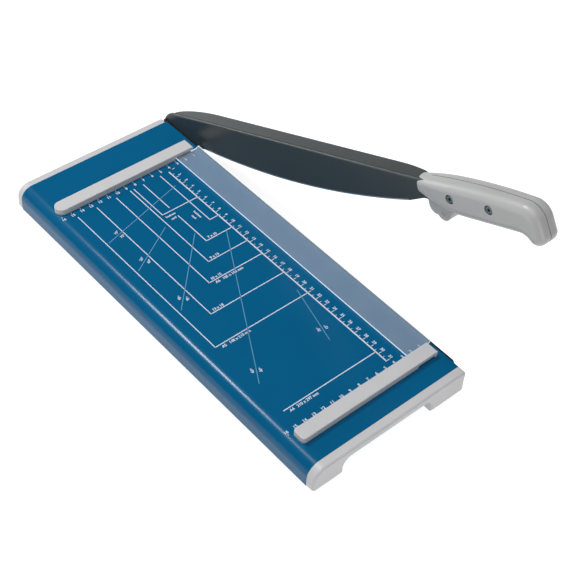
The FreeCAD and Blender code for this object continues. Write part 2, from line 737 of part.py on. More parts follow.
def at_arm(x, forward, depth):
    """Point of the level arm: forward of the pivot, and below the flange's top face."""
    return vec(x, PIVOT_Y - forward, PIVOT_Z + FLANGE_RISE - depth)


def around_pivot(x, radius, angle):
    """Point on a circle about the pivot, its angle measured up from straight back."""
    turn = radians(angle)
    return vec(x, PIVOT_Y + radius * cos(turn), PIVOT_Z + radius * sin(turn))


def raised(shape, angle):
    """The shape turned up about the hinge by the angle."""
    turned = shape.copy()
    turned.rotate(vec(0, PIVOT_Y, PIVOT_Z), vec(-1, 0, 0), angle)
    return turned


def arm_height(depth):
    """Height above the pivot of a depth below the flange's top face."""
    return FLANGE_RISE - depth


def cutting_edge(x):
    """Curve of the arm's cutting edge, from the hinge to the tip."""
    return Part.ArcOfCircle(
        at_arm(x, WEB_START, WEB_START_DEPTH),
        at_arm(x, WEB_DEEPEST, WEB_DEPTH),
        at_arm(x, WEB_TIP, WEB_TIP_DEPTH))


def web_outline(x):
    """Side of the arm: round root, flat heel, round hub, cutting edge, and the tongue in the grip."""
    heel = HEEL_FLAT_RAISE - 90
    heel_top = heel + degrees(acos(HUB_RADIUS / FLANGE_RISE))
    edge_height = arm_height(WEB_START_DEPTH)
    edge_reach = hypot(WEB_START, edge_height)
    hub_end = degrees(atan2(edge_height, -WEB_START) + acos(HUB_RADIUS / edge_reach))
    chamfer_end = FLANGE_END - TONGUE_CHAMFER
    return [
        line(at_arm(x, 0, 0), at_arm(x, FLANGE_END, 0)),
        line(at_arm(x, FLANGE_END, 0), at_arm(x, FLANGE_END, TONGUE_TOP)),
        line(at_arm(x, FLANGE_END, TONGUE_TOP), at_arm(x, TONGUE_END, TONGUE_TOP)),
        line(at_arm(x, TONGUE_END, TONGUE_TOP), at_arm(x, TONGUE_END, TONGUE_BOTTOM)),
        line(at_arm(x, TONGUE_END, TONGUE_BOTTOM), at_arm(x, chamfer_end, TONGUE_BOTTOM)),
        line(at_arm(x, chamfer_end, TONGUE_BOTTOM), at_arm(x, WEB_TIP, WEB_TIP_DEPTH)),
        cutting_edge(x).toShape(),
        line(at_arm(x, WEB_START, WEB_START_DEPTH), around_pivot(x, HUB_RADIUS, hub_end)),
        arc(around_pivot(x, HUB_RADIUS, hub_end),
            around_pivot(x, HUB_RADIUS, (hub_end + heel) / 2),
            around_pivot(x, HUB_RADIUS, heel)),
        line(around_pivot(x, HUB_RADIUS, heel), around_pivot(x, FLANGE_RISE, heel_top)),
        arc(around_pivot(x, FLANGE_RISE, heel_top),
            around_pivot(x, FLANGE_RISE, (heel_top + 90) / 2),
            at_arm(x, 0, 0)),
    ]


def flange_outline():
    """Top view of the flange: an elliptical root, a straight run and a taper into the grip."""
    root = at_arm(ARM_RIGHT, 0, 0)
    shoulder = at_arm(FLANGE_RIGHT, FLANGE_ROOT_LENGTH, 0)
    centre = at_arm(ARM_RIGHT, FLANGE_ROOT_LENGTH, 0)
    ellipse = Part.Ellipse(root, shoulder, centre)
    taper_start = at_arm(FLANGE_RIGHT, FLANGE_TAPER_START, 0)
    taper_end = at_arm(FLANGE_TAPER_RIGHT, FLANGE_TAPER_END, 0)
    taper_middle = (taper_start + taper_end) / 2
    taper_middle.x += (FLANGE_RIGHT - FLANGE_TAPER_RIGHT) / 4
    end_right = at_arm(FLANGE_END_RIGHT, FLANGE_END, 0)
    end_left = at_arm(ARM_LEFT, FLANGE_END, 0)
    return [
        Part.ArcOfEllipse(ellipse, 0, pi / 2).toShape(),
        line(shoulder, taper_start),
        arc(taper_start, taper_middle, taper_end),
        line(taper_end, end_right),
        line(end_right, end_left),
        line(end_left, at_arm(ARM_LEFT, 0, 0)),
        line(at_arm(ARM_LEFT, 0, 0), root),
    ]


def bend_corner():
    """What the bend leaves off the square corner between web and flange."""
    radius = BEND_RADIUS
    low = at_arm(ARM_LEFT, FLANGE_END + PAST, radius)
    high = at_arm(ARM_LEFT + radius, -FLANGE_RISE, -PAST)
    block = box(low.x - PAST, high.x, low.y, high.y, low.z, high.z)
    round_bar = Part.makeCylinder(radius, high.y - low.y, vec(high.x, low.y, low.z), vec(0, 1, 0))
    return block.cut(round_bar)


def edge_bevel():
    """Ring sector that slopes the outer side of the cutting edge."""
    edge = cutting_edge(ARM_RIGHT)
    outward = edge.StartPoint - edge.Center
    outward.normalize()
    shoulder = edge.StartPoint - outward * EDGE_BEVEL_HEIGHT
    toe = edge.StartPoint - vec(ARM_THICKNESS - EDGE_LAND, 0, 0)
    slope = toe - shoulder
    clear = shoulder + outward * 4 * EDGE_BEVEL_HEIGHT
    corners = [shoulder - slope, toe + slope, clear - slope]
    face = Part.Face(Part.Wire(polygon(corners)))
    sweep = degrees(edge.LastParameter - edge.FirstParameter)
    return face.revolve(edge.Center, vec(-1, 0, 0), sweep)


def grip_bolt_places():
    return [at_arm(0, forward, GRIP_BOLT_DEPTH) for forward in GRIP_BOLTS]


def blade_arm():
    web = prism(web_outline(ARM_LEFT), vec(ARM_THICKNESS, 0, 0))
    flange = prism(flange_outline(), vec(0, 0, -ARM_THICKNESS))
    arm = web.fuse(flange).cut(bend_corner()).cut(edge_bevel())
    arm = arm.cut(rod_x(0, 2 * ARM_RIGHT, PIVOT_Y, PIVOT_Z, PIVOT_RADIUS + PIVOT_RUNNING_FIT))
    for place in grip_bolt_places():
        arm = arm.cut(rod_x(0, 2 * ARM_RIGHT, place.y, place.z, GRIP_BOLT_RADIUS + SCREW_ROOM))
    return arm.removeSplitter()


# ---------------------------------------------------------------- grip, drawn level

def grip_side(x, inset=0.0):
    """Side view of the grip, or its outline a little inside: crown, front corner and hooked end."""
    end = GRIP_END - inset
    radius = HOOK_TIP_RADIUS - inset
    crown_top = GRIP_CROWN_TOP + inset
    bottom = GRIP_BOTTOM - inset
    mouth_top = at_arm(x, GRIP_START, GRIP_MOUTH_TOP + inset)
    mouth_bottom = at_arm(x, GRIP_START, GRIP_MOUTH_BOTTOM - inset)
    crown = at_arm(x, GRIP_CROWN, crown_top)
    corner_start, corner_middle, corner_end = [
        at_arm(x, end - back, crown_top + drop) for back, drop in GRIP_CORNER]
    tip_forward = end - radius
    tip_depth = HOOK_TIP_DEPTH - HOOK_TIP_RADIUS
    tip_end = at_arm(x, end, tip_depth)
    turn = radians(HOOK_SLOPE)
    tip_middle = at_arm(x, tip_forward + radius * sin(turn / 2), tip_depth + radius * cos(turn / 2))
    tip_start = at_arm(x, tip_forward - radius * sin(turn), tip_depth + radius * cos(turn))
    waist = at_arm(x, HOOK_START, bottom)
    hollow_middle = at_arm(x, HOOK_START + HOOK_HOLLOW_RUN, bottom + HOOK_HOLLOW_DROP)
    belly = at_arm(x, GRIP_FULL + GRIP_BELLY_RUN, bottom)
    belly_middle = at_arm(x, GRIP_FULL, bottom - GRIP_BELLY_SAG)
    belly_start = at_arm(x, GRIP_FULL - GRIP_BELLY_RUN, bottom - GRIP_BELLY_RISE)
    return [
        arc(mouth_top, crown, corner_start),
        arc(corner_start, corner_middle, corner_end),
        line(corner_end, tip_end),
        arc(tip_end, tip_middle, tip_start),
        arc(tip_start, hollow_middle, waist),
        line(waist, belly),
        arc(belly, belly_middle, belly_start),
        line(belly_start, mouth_bottom),
        line(mouth_bottom, mouth_top),
    ]


def seam_groove():
    """Shadow groove along the seam of the grip, over the crown and round the end."""
    half = SEAM_GROOVE / 2
    left = GRIP_SEAM - half
    inside = prism(grip_side(left - PAST, SEAM_GROOVE), vec(SEAM_GROOVE + 2 * PAST, 0, 0))
    low = at_arm(left, GRIP_END + PAST, HOOK_TIP_DEPTH + PAST)
    high = at_arm(left + SEAM_GROOVE, SEAM_GROOVE_START, GRIP_CROWN_TOP - PAST)
    band = box(low.x, high.x, low.y, high.y, low.z, high.z)
    under = at_arm(left, HOOK_START, GRIP_BOTTOM - SEAM_GROOVE_LOW_END)
    below = box(low.x - PAST, high.x + PAST, under.y, high.y + PAST, low.z - PAST, under.z)
    return band.cut(inside).cut(below)


def grip_plan():
    """Top view of the grip: narrow at the mouth, swelling to its full width."""
    depth = GRIP_CROWN_TOP - 5 * PAST
    halfway = (GRIP_START + GRIP_FULL) / 2
    beyond = GRIP_END + PAST
    left_quarter = GRIP_LEFT + (GRIP_MOUTH_LEFT - GRIP_LEFT) / 4
    right_quarter = GRIP_RIGHT + (GRIP_MOUTH_RIGHT - GRIP_RIGHT) / 4
    return [
        arc(at_arm(GRIP_MOUTH_LEFT, GRIP_START, depth),
            at_arm(left_quarter, halfway, depth),
            at_arm(GRIP_LEFT, GRIP_FULL, depth)),
        line(at_arm(GRIP_LEFT, GRIP_FULL, depth), at_arm(GRIP_LEFT, beyond, depth)),
        line(at_arm(GRIP_LEFT, beyond, depth), at_arm(GRIP_RIGHT, beyond, depth)),
        line(at_arm(GRIP_RIGHT, beyond, depth), at_arm(GRIP_RIGHT, GRIP_FULL, depth)),
        arc(at_arm(GRIP_RIGHT, GRIP_FULL, depth),
            at_arm(right_quarter, halfway, depth),
            at_arm(GRIP_MOUTH_RIGHT, GRIP_START, depth)),
        line(at_arm(GRIP_MOUTH_RIGHT, GRIP_START, depth), at_arm(GRIP_MOUTH_LEFT, GRIP_START, depth)),
    ]


def grip_body():
    """Outside of the closed grip, without the lock tab."""
    width = GRIP_RIGHT - GRIP_LEFT
    height = HOOK_TIP_DEPTH - GRIP_CROWN_TOP
    side = prism(grip_side(GRIP_LEFT - PAST), vec(width + 2 * PAST, 0, 0))
    body = side.common(prism(grip_plan(), vec(0, 0, -2 * height)))
    return fillet_along(body, GRIP_EDGE_RADIUS, follows_grip_rim)


def follows_grip_rim(edge):
    """Edges along the grip's two sides, apart from the mouth's and the upright seams in a side."""
    first, last = edge.Vertexes[0].Point.x, edge.Vertexes[-1].Point.x
    crosswise = (first - GRIP_SEAM) * (last - GRIP_SEAM) < 0
    at_mouth = edge_middle(edge).y > at_arm(0, GRIP_START, 0).y - PICK
    return not crosswise and not at_mouth and not upright(edge)


def lock_tab():
    """Lug under the grip's mouth, ending in a barrel with the lock pin in its lower half."""
    left = BARREL_LEFT
    top = GRIP_MOUTH_BOTTOM - TAB_OVERLAP
    centre = at_arm(left, LOCK_FORWARD, LOCK_DEPTH - LOCK_BARREL_RISE)
    front_top = at_arm(left, TAB_START, top)
    knee = at_arm(left, TAB_START + TAB_KNEE_RUN, LOCK_DEPTH - TAB_KNEE_RISE)
    curve = at_arm(left, TAB_START + TAB_CURVE_RUN, LOCK_DEPTH + TAB_CURVE_DROP)
    toe = at_arm(left, TAB_START + TAB_TOE_RUN, LOCK_DEPTH + TAB_TOE_DROP)
    under = at_arm(left, LOCK_FORWARD, LOCK_DEPTH + TAB_TOE_DROP)
    back_low = at_arm(left, TAB_END, GRIP_BOTTOM - GRIP_BELLY_RISE)
    back_top = at_arm(left, TAB_END, top)
    edges = [line(front_top, knee), arc(knee, curve, toe)]
    edges += [line(toe, under), line(under, back_low), line(back_low, back_top), line(back_top, front_top)]
    tab = prism(edges, vec(LOCK_BARREL_RIGHT - left, 0, 0))
    barrel = rod_x(left, LOCK_BARREL_RIGHT, centre.y, centre.z, LOCK_BARREL_RADIUS)
    return tab.fuse(barrel)


def tongue_slot():
    """Room in the grip for the arm's tongue and for the end of its flange."""
    room = TONGUE_ROOM
    left = ARM_LEFT - room
    right = ARM_RIGHT + room
    before = GRIP_START - PAST
    slot_low = at_arm(left, TONGUE_END + TONGUE_END_ROOM, TONGUE_BOTTOM + room)
    slot_high = at_arm(right, before, TONGUE_TOP - room)
    slot = box(left, right, slot_low.y, slot_high.y, slot_low.z, slot_high.z)
    mouth_low = at_arm(left, FLANGE_END + room, WEB_TIP_DEPTH)
    mouth_high = at_arm(right, before, -room)
    slot = slot.fuse(box(left, right, mouth_low.y, mouth_high.y, mouth_low.z, mouth_high.z))
    depth = -room
    wing = [
        at_arm(left, before, depth),
        at_arm(FLANGE_TAPER_RIGHT + 2 * room, before, depth),
        at_arm(FLANGE_END_RIGHT + 2 * room, FLANGE_END + room, depth),
        at_arm(left, FLANGE_END + room, depth),
    ]
    return slot.fuse(prism(polygon(wing), vec(0, 0, -ARM_THICKNESS - 2 * room)))


def grip_cavity(left, right):
    """Hollow of a grip half."""
    low = at_arm(left, GRIP_CAVITY[1], GRIP_CAVITY_BOTTOM)
    high = at_arm(right, GRIP_CAVITY[0], GRIP_CAVITY_TOP)
    hollow = box(left, right, low.y, high.y, low.z, high.z)
    return fillet_along(hollow, GRIP_CAVITY_CORNER, runs_across)


def clamping_posts():
    """Posts of the right half that press the tongue against the left half's wall."""
    left = ARM_RIGHT + TONGUE_ROOM
    right = GRIP_CAVITY_RIGHT + FUSE_DEPTH
    return [rod_x(left, right, place.y, place.z, GRIP_BOSS_RADIUS) for place in grip_bolt_places()]


def lock_bore():
    place = at_arm(0, LOCK_FORWARD, LOCK_DEPTH)
    return rod_x(GRIP_LEFT - PAST, GRIP_RIGHT + PAST, place.y, place.z, LOCK_PIN_RADIUS + LOCK_FIT)


def grip_half(left_side):
    """One half of the grip, up to the seam."""
    whole = grip_body().fuse(lock_tab())
    bounds = whole.BoundBox
    bounds.enlarge(PAST)
    x_low, x_high = (bounds.XMin, GRIP_SEAM) if left_side else (GRIP_SEAM, bounds.XMax)
    keep = box(x_low, x_high, bounds.YMin, bounds.YMax, bounds.ZMin, bounds.ZMax)
    return whole.common(keep).cut(seam_groove()).cut(tongue_slot()).cut(lock_bore())


def bolt_bores():
    radius = GRIP_BOLT_RADIUS + SCREW_ROOM
    left = GRIP_LEFT - PAST
    right = GRIP_RIGHT + PAST
    return joined([rod_x(left, right, place.y, place.z, radius) for place in grip_bolt_places()])


def handle_left():
    half = grip_half(True).cut(grip_cavity(ARM_LEFT - TONGUE_ROOM, GRIP_SEAM)).cut(bolt_bores())
    seat = GRIP_LEFT + GRIP_RECESS_DEPTH
    for place in grip_bolt_places():
        half = half.cut(rod_x(GRIP_LEFT - PAST, seat, place.y, place.z, GRIP_RECESS_RADIUS))
    return half.removeSplitter()


def handle_right():
    half = grip_half(False).cut(grip_cavity(GRIP_SEAM, GRIP_CAVITY_RIGHT))
    half = joined([half] + clamping_posts()).cut(bolt_bores())
    pocket_width = GRIP_NUT_WIDTH + 2 * SCREW_ROOM
    for place in grip_bolt_places():
        half = half.cut(hexagon_x(GRIP_NUT_SEAT, GRIP_RIGHT + PAST, place.y, place.z, pocket_width))
    return half.removeSplitter()


def handle_bolts():
    """Button-headed bolts, each with a hexagon socket."""
    seat = GRIP_LEFT + GRIP_RECESS_DEPTH
    head_end = seat - GRIP_BOLT_HEAD_HEIGHT
    bolts = []
    for place in grip_bolt_places():
        head = rod_x(head_end, seat, place.y, place.z, GRIP_BOLT_HEAD_RADIUS)
        head = fillet_along(
            head, GRIP_BOLT_HEAD_EDGE, lambda edge: edge_middle(edge).x < head_end + PICK)
        shank_end = GRIP_NUT_SEAT + GRIP_NUT_HEIGHT
        shank = rod_x(seat - FUSE_DEPTH, shank_end, place.y, place.z, GRIP_BOLT_RADIUS)
        socket_end = head_end + GRIP_BOLT_SOCKET_DEPTH
        socket = hexagon_x(head_end - PAST, socket_end, place.y, place.z, GRIP_BOLT_SOCKET_WIDTH)
        bolts.append(head.fuse(shank).cut(socket).removeSplitter())
    return bolts


def handle_nuts():
    nuts = []
    for place in grip_bolt_places():
        end = GRIP_NUT_SEAT + GRIP_NUT_HEIGHT
        nut = hexagon_x(GRIP_NUT_SEAT, end, place.y, place.z, GRIP_NUT_WIDTH)
        thread_radius = GRIP_BOLT_RADIUS + THREAD_ROOM
        thread = rod_x(GRIP_NUT_SEAT - PAST, end + PAST, place.y, place.z, thread_radius)
        nuts.append(nut.cut(thread))
    return nuts


# ---------------------------------------------------------------- arm lock, drawn level

def knob_start():
    return LOCK_BARREL_RIGHT + LOCK_TRAVEL + LOCK_KNOB_ROOM


def lock_pin():
    place = at_arm(0, LOCK_FORWARD, LOCK_DEPTH)
    nose = BARREL_LEFT + LOCK_NOSE_SETBACK
    end = knob_start() + LOCK_KNOB_THICKNESS - LOCK_KNOB_WALL
    pin = rod_x(nose, end, place.y, place.z, LOCK_PIN_RADIUS)
    return fillet_along(pin, LOCK_NOSE_RADIUS, lambda edge: edge_middle(edge).x < nose + PICK)


def lock_knob():
    place = at_arm(0, LOCK_FORWARD, LOCK_DEPTH)
    start = knob_start()
    end = start + LOCK_KNOB_THICKNESS
    knob = rod_x(start, end, place.y, place.z, LOCK_KNOB_RADIUS)
    knob = fillet_along(knob, LOCK_KNOB_EDGE, lambda edge: edge_middle(edge).x > end - PICK)
    bore_radius = LOCK_PIN_RADIUS + THREAD_ROOM
    return knob.cut(rod_x(start - PAST, end - LOCK_KNOB_WALL, place.y, place.z, bore_radius))


# ---------------------------------------------------------------- files

BASE_NODES = {
    "bed_plate": bed_plate,
    "back_end_cap": back_end_cap,
    "front_end_cap": front_end_cap,
    "cap_screws": cap_screws,
    "rubber_feet": rubber_feet,
    "fixed_blade": fixed_blade,
    "blade_screws": blade_screws,
    "blade_nuts": blade_nuts,
    "back_stop": back_stop,
    "front_stop": front_stop,
    "stop_screws": stop_screws,
    "clear_guard": clear_guard,
    "guard_spacers": guard_spacers,
    "pivot_block": pivot_block,
    "pivot_bolt": pivot_bolt,
    "pivot_washer": pivot_washer,
    "pivot_spring": disc_spring,
    "pivot_nut": pivot_nut,
}

ARM_NODES = {
    "blade_arm": blade_arm,
    "handle_left": handle_left,
    "handle_right": handle_right,
    "handle_bolts": handle_bolts,
    "handle_nuts": handle_nuts,
    "lock_pin": lock_pin,
    "lock_knob": lock_knob,
}


def gathered(made):
    """A single shape from one solid or from a list of solids."""
    return Part.makeCompound(made) if isinstance(made, list) else made


def write(name, shape):
    placed = shape.copy()
    placed.translate(vec(ORIGIN_SHIFT, 0, 0))
    placed.exportStep("parts/" + name + ".step")


def main():
    os.makedirs("parts", exist_ok=True)
    for name, make in BASE_NODES.items():
        write(name, gathered(make()))
    for name, make in ARM_NODES.items():
        write(name, raised(gathered(make()), ARM_RAISED))


main()
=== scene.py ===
import json
from math import cos, radians, sin

import bmesh
import bpy
from mathutils import Matrix, Vector


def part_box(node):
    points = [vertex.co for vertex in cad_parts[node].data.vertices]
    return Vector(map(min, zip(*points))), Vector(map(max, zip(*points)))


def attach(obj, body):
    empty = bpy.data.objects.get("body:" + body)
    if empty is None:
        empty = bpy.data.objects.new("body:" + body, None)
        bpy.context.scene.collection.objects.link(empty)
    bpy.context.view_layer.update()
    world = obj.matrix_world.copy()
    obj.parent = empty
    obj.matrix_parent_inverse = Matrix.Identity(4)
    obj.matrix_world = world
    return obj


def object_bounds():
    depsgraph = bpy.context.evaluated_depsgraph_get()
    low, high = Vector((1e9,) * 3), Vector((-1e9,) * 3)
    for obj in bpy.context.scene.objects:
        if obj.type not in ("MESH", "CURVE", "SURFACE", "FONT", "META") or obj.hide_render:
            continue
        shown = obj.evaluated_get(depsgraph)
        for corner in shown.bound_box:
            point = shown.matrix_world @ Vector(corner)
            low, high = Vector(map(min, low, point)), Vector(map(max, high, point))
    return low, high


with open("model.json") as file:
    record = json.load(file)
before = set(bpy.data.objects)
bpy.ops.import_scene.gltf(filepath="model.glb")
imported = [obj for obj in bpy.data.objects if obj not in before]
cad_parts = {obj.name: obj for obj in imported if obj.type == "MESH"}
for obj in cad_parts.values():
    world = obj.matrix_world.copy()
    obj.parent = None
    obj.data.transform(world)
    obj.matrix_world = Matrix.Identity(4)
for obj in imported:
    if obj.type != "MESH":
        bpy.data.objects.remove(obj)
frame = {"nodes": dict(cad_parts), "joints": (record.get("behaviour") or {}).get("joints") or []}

# Looks of the lever-arm paper trimmer. Lengths are metres; MM turns millimetres into metres.
# Printed marks and the arm's ground edge are laid out in millimetres; CM is one centimetre of them.
# X runs across the bed towards the blade arm, Y back towards the hinge, Z up.

MM = 0.001
CM = 10
cad_low, cad_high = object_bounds()


# ---------------------------------------------------------------- places, from the frame

CUT_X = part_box("bed_plate")[1].x
TABLE_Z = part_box("bed_plate")[1].z
STOP_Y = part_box("back_stop")[0].y
FRONT_STOP_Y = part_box("front_stop")[1].y
DESK_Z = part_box("rubber_feet")[0].z
HINGE = next(joint for joint in frame["joints"] if joint["name"] == "arm_hinge")
PIVOT = Vector(HINGE["pos_m"])
# Degrees the arm stands above level, closed and at rest, and the height of its flange over the hinge.
CLOSED_RAISE = 1.0
REST_RAISE = CLOSED_RAISE - HINGE["range_deg"][0]
FLANGE_RISE = 24.65 * MM
ARM_FACE = (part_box("blade_arm")[0].x - CUT_X) / MM
SCALE_LENGTH = round((STOP_Y - FRONT_STOP_Y) / (CM * MM)) - 1


def on_bed(across, along, lift=0.0):
    """Point on the bed, in mm left of the cut and in front of the back stop."""
    return Vector((CUT_X - across * MM, STOP_Y - along * MM, TABLE_Z + lift * MM))


def on_arm(x, forward, depth):
    """Point carried by the raised arm, in mm: forward of the hinge and below the flange's top."""
    level = Vector((CUT_X + x * MM - PIVOT.x, -forward * MM, FLANGE_RISE - depth * MM))
    return PIVOT + Matrix.Rotation(radians(-REST_RAISE), 3, "X") @ level


# ---------------------------------------------------------------- materials

def linear(hex_colour):
    """Linear RGBA of an sRGB hex colour."""
    channels = []
    for start in (1, 3, 5):
        value = int(hex_colour[start:start + 2], 16) / 255
        channels.append(value / 12.92 if value <= 0.04045 else ((value + 0.055) / 1.055) ** 2.4)
    return (*channels, 1.0)


def add(material, kind, inputs=None, **settings):
    """New node in a material, with its settings and its input values or links."""
    node = material.node_tree.nodes.new(kind)
    for name, value in settings.items():
        setattr(node, name, value)
    for name, value in (inputs or {}).items():
        if isinstance(value, bpy.types.NodeSocket):
            material.node_tree.links.new(value, node.inputs[name])
        else:
            node.inputs[name].default_value = value
    return node


def new_material(name):
    material = bpy.data.materials.new(name)
    material.use_nodes = True
    shader = material.node_tree.nodes["Principled BSDF"]
    return material, shader


def join(material, source, target):
    material.node_tree.links.new(source, target)


def object_noise(material, size_mm, detail=3.0):
    """Noise over the object's own coordinates, its features about size_mm across."""
    place = add(material, "ShaderNodeTexCoord")
    return add(material, "ShaderNodeTexNoise", {
        "Vector": place.outputs["Object"],
        "Scale": 1.0 / (size_mm * MM),
        "Detail": detail,
    })


def stretched(material, scale):
    """Object coordinates stretched by a factor on each axis."""
    place = add(material, "ShaderNodeTexCoord")
    return add(material, "ShaderNodeMapping", {"Vector": place.outputs["Object"], "Scale": scale})


def spread(material, value, low, high):
    """value, 0 to 1, spread over low to high."""
    return add(material, "ShaderNodeMapRange", {"Value": value, "To Min": low, "To Max": high})


def paint(material, shader, noise, first, second):
    """Base colour that drifts between two colours with the noise."""
    mix = add(material, "ShaderNodeMix", data_type="RGBA")
    join(material, noise.outputs["Fac"], mix.inputs[0])
    mix.inputs[6].default_value = linear(first)
    mix.inputs[7].default_value = linear(second)
    join(material, mix.outputs[2], shader.inputs["Base Color"])


def bump(material, height, distance_mm, strength):
    return add(material, "ShaderNodeBump", {
        "Height": height,
        "Distance": distance_mm * MM,
        "Strength": strength,
    }).outputs["Normal"]


def bed_enamel():
    """Satin blue stove enamel on steel sheet: a deep colour under a thin, soft gloss."""
    material, shader = new_material("blue_enamel")
    cloud = object_noise(material, 60.0, 2.0)
    peel = object_noise(material, 1.6, 2.0)
    paint(material, shader, cloud, "#00527A", "#015983")
    rough = spread(material, peel.outputs["Fac"], 0.20, 0.26)
    shader.inputs["Specular IOR Level"].default_value = 0.22
    join(material, rough.outputs["Result"], shader.inputs["Roughness"])
    join(material, bump(material, peel.outputs["Fac"], 0.02, 0.08), shader.inputs["Normal"])
    return material


def moulded_plastic(name, light, dark, roughness):
    """Injection moulded plastic with a fine spark-eroded grain."""
    material, shader = new_material(name)
    cloud = object_noise(material, 25.0, 2.0)
    grain = object_noise(material, 0.5, 2.0)
    paint(material, shader, cloud, light, dark)
    rough = spread(material, grain.outputs["Fac"], roughness - 0.05, roughness + 0.08)
    join(material, rough.outputs["Result"], shader.inputs["Roughness"])
    join(material, bump(material, grain.outputs["Fac"], 0.03, 0.35), shader.inputs["Normal"])
    return material


def arm_enamel():
    """Charcoal satin enamel on the blade arm."""
    material, shader = new_material("charcoal_enamel")
    cloud = object_noise(material, 40.0, 2.0)
    peel = object_noise(material, 0.9, 3.0)
    paint(material, shader, cloud, "#2C3334", "#323939")
    shader.inputs["Specular IOR Level"].default_value = 0.5
    rough = spread(material, peel.outputs["Fac"], 0.28, 0.36)
    join(material, rough.outputs["Result"], shader.inputs["Roughness"])
    join(material, bump(material, peel.outputs["Fac"], 0.02, 0.3), shader.inputs["Normal"])
    return material


def black_oxide():
    """Blackened steel of the fixed blade and its screws."""
    material, shader = new_material("black_oxide_steel")
    speck = object_noise(material, 0.7, 3.0)
    paint(material, shader, speck, "#101213", "#1C1F20")
    rough = spread(material, speck.outputs["Fac"], 0.32, 0.5)
    join(material, rough.outputs["Result"], shader.inputs["Roughness"])
    shader.inputs["Metallic"].default_value = 0.4
    return material


def ground_steel():
    """Steel ground along the blade's edge."""
    material, shader = new_material("ground_steel")
    lines = stretched(material, (1500.0, 30.0, 3000.0))
    scratch = add(material, "ShaderNodeTexNoise", {"Vector": lines.outputs["Vector"], "Scale": 1.0})
    paint(material, shader, scratch, "#A9AEB0", "#C8CBCC")
    rough = spread(material, scratch.outputs["Fac"], 0.25, 0.42)
    join(material, rough.outputs["Result"], shader.inputs["Roughness"])
    shader.inputs["Metallic"].default_value = 1.0
    return material


def zinc_plate():
    """Bright zinc plating of the fasteners."""
    material, shader = new_material("zinc_plate")
    cloud = object_noise(material, 2.5, 3.0)
    paint(material, shader, cloud, "#9FA3A6", "#BFC2C3")
    rough = spread(material, cloud.outputs["Fac"], 0.28, 0.45)
    join(material, rough.outputs["Result"], shader.inputs["Roughness"])
    shader.inputs["Metallic"].default_value = 1.0
    return material


def passivated_zinc():
    """Grey-green zinc of the grip's bolts, its colours painted darker for the shade in their deep recesses.
    """
    material, shader = new_material("passivated_zinc")
    cloud = object_noise(material, 2.0, 3.0)
    # Painted shade: both colours are darker than bright zinc to stand for the shade in the bolts' deep
    # recesses.
    paint(material, shader, cloud, "#5E6B6D", "#788688")
    rough = spread(material, cloud.outputs["Fac"], 0.35, 0.5)
    join(material, rough.outputs["Result"], shader.inputs["Roughness"])
    shader.inputs["Metallic"].default_value = 1.0
    return material


def cast_alloy():
    """Die-cast zinc alloy of the hinge block."""
    material, shader = new_material("cast_alloy")
    grain = object_noise(material, 1.2, 4.0)
    paint(material, shader, grain, "#6B6E70", "#8A8D8F")
    join(material, bump(material, grain.outputs["Fac"], 0.05, 0.5), shader.inputs["Normal"])
    shader.inputs["Metallic"].default_value = 0.8
    shader.inputs["Roughness"].default_value = 0.55
    return material


def foot_rubber():
    """Black moulded rubber of the feet."""
    material, shader = new_material("foot_rubber")
    grain = object_noise(material, 0.4, 3.0)
    paint(material, shader, grain, "#17181A", "#232426")
    join(material, bump(material, grain.outputs["Fac"], 0.04, 0.5), shader.inputs["Normal"])
    shader.inputs["Roughness"].default_value = 0.8
    return material


def clear_sheet():
    """Clear plastic of the guard strip: a pale veil face on, with a painted highlight along its cut edges,
    which glow by emission.
    """
    material, shader = new_material("clear_sheet")
    haze = object_noise(material, 30.0, 2.0)
    facing = add(material, "ShaderNodeNewGeometry")
    parts = add(material, "ShaderNodeSeparateXYZ", {"Vector": facing.outputs["True Normal"]})
    level = add(material, "ShaderNodeMath", {0: parts.outputs["Z"]}, operation="ABSOLUTE")
    veil = spread(material, haze.outputs["Fac"], 0.10, 0.14)
    edge = add(material, "ShaderNodeMath", {0: level.outputs[0], 1: 0.5}, operation="LESS_THAN")
    either = {0: edge.outputs[0], 1: veil.outputs["Result"]}
    alpha = add(material, "ShaderNodeMath", either, operation="MAXIMUM")
    opaque = add(material, "ShaderNodeMath", {0: alpha.outputs[0], 1: 0.8}, operation="MINIMUM")
    join(material, opaque.outputs[0], shader.inputs["Alpha"])
    # Painted highlight: the cut edges glow by emission in a pale colour, a bright line along the strip's
    # sides.
    painted_edge_glow = add(material, "ShaderNodeMath", {0: edge.outputs[0], 1: 0.8}, operation="MULTIPLY")
    join(material, painted_edge_glow.outputs[0], shader.inputs["Emission Strength"])
    shader.inputs["Emission Color"].default_value = linear("#DCE8F2")
    shader.inputs["Base Color"].default_value = linear("#DCE8F4")
    shader.inputs["Roughness"].default_value = 0.3
    return material


def print_ink(name, colour, worn):
    """Screen-printed ink, thin enough to show the enamel's grain."""
    material, shader = new_material(name)
    wear = object_noise(material, 0.8, 3.0)
    paint(material, shader, wear, worn, colour)
    rough = spread(material, wear.outputs["Fac"], 0.35, 0.5)
    join(material, rough.outputs["Result"], shader.inputs["Roughness"])
    return material


# ---------------------------------------------------------------- printed marks

INK_LIFT = 0.02
INK_THICKNESS = 0.04
LINE_WIDTH = 0.9
THIN_WIDTH = 0.7
TICK_WIDTH = 0.5
TEXT_SIZE = 3.9
TEXT_WEIGHT = 0.03

RULER_LEFT = 44.0
RULER_START = 10
RULER_WIDTH = 1.3
RULER_OVERRUN = 0.5
RULER_TICK = 4.0
RULER_TICK_WIDTH = 0.6
RULER_HALF_TICK = 2.5
RULER_TEXT_GAP = 5.0
RULER_TEXT_DROP = 1.4
RULER_TEXT_SIZE = 4.0

CROSS_LENGTH = 16
CROSS_TEXT_SIZE = 4.2
BACK_TEXT_LINE = 6.4
BACK_TICK = (0.8, 2.4)
FRONT_TEXT_LINE = 2.8
FRONT_TICK = (2.2, 0.4)


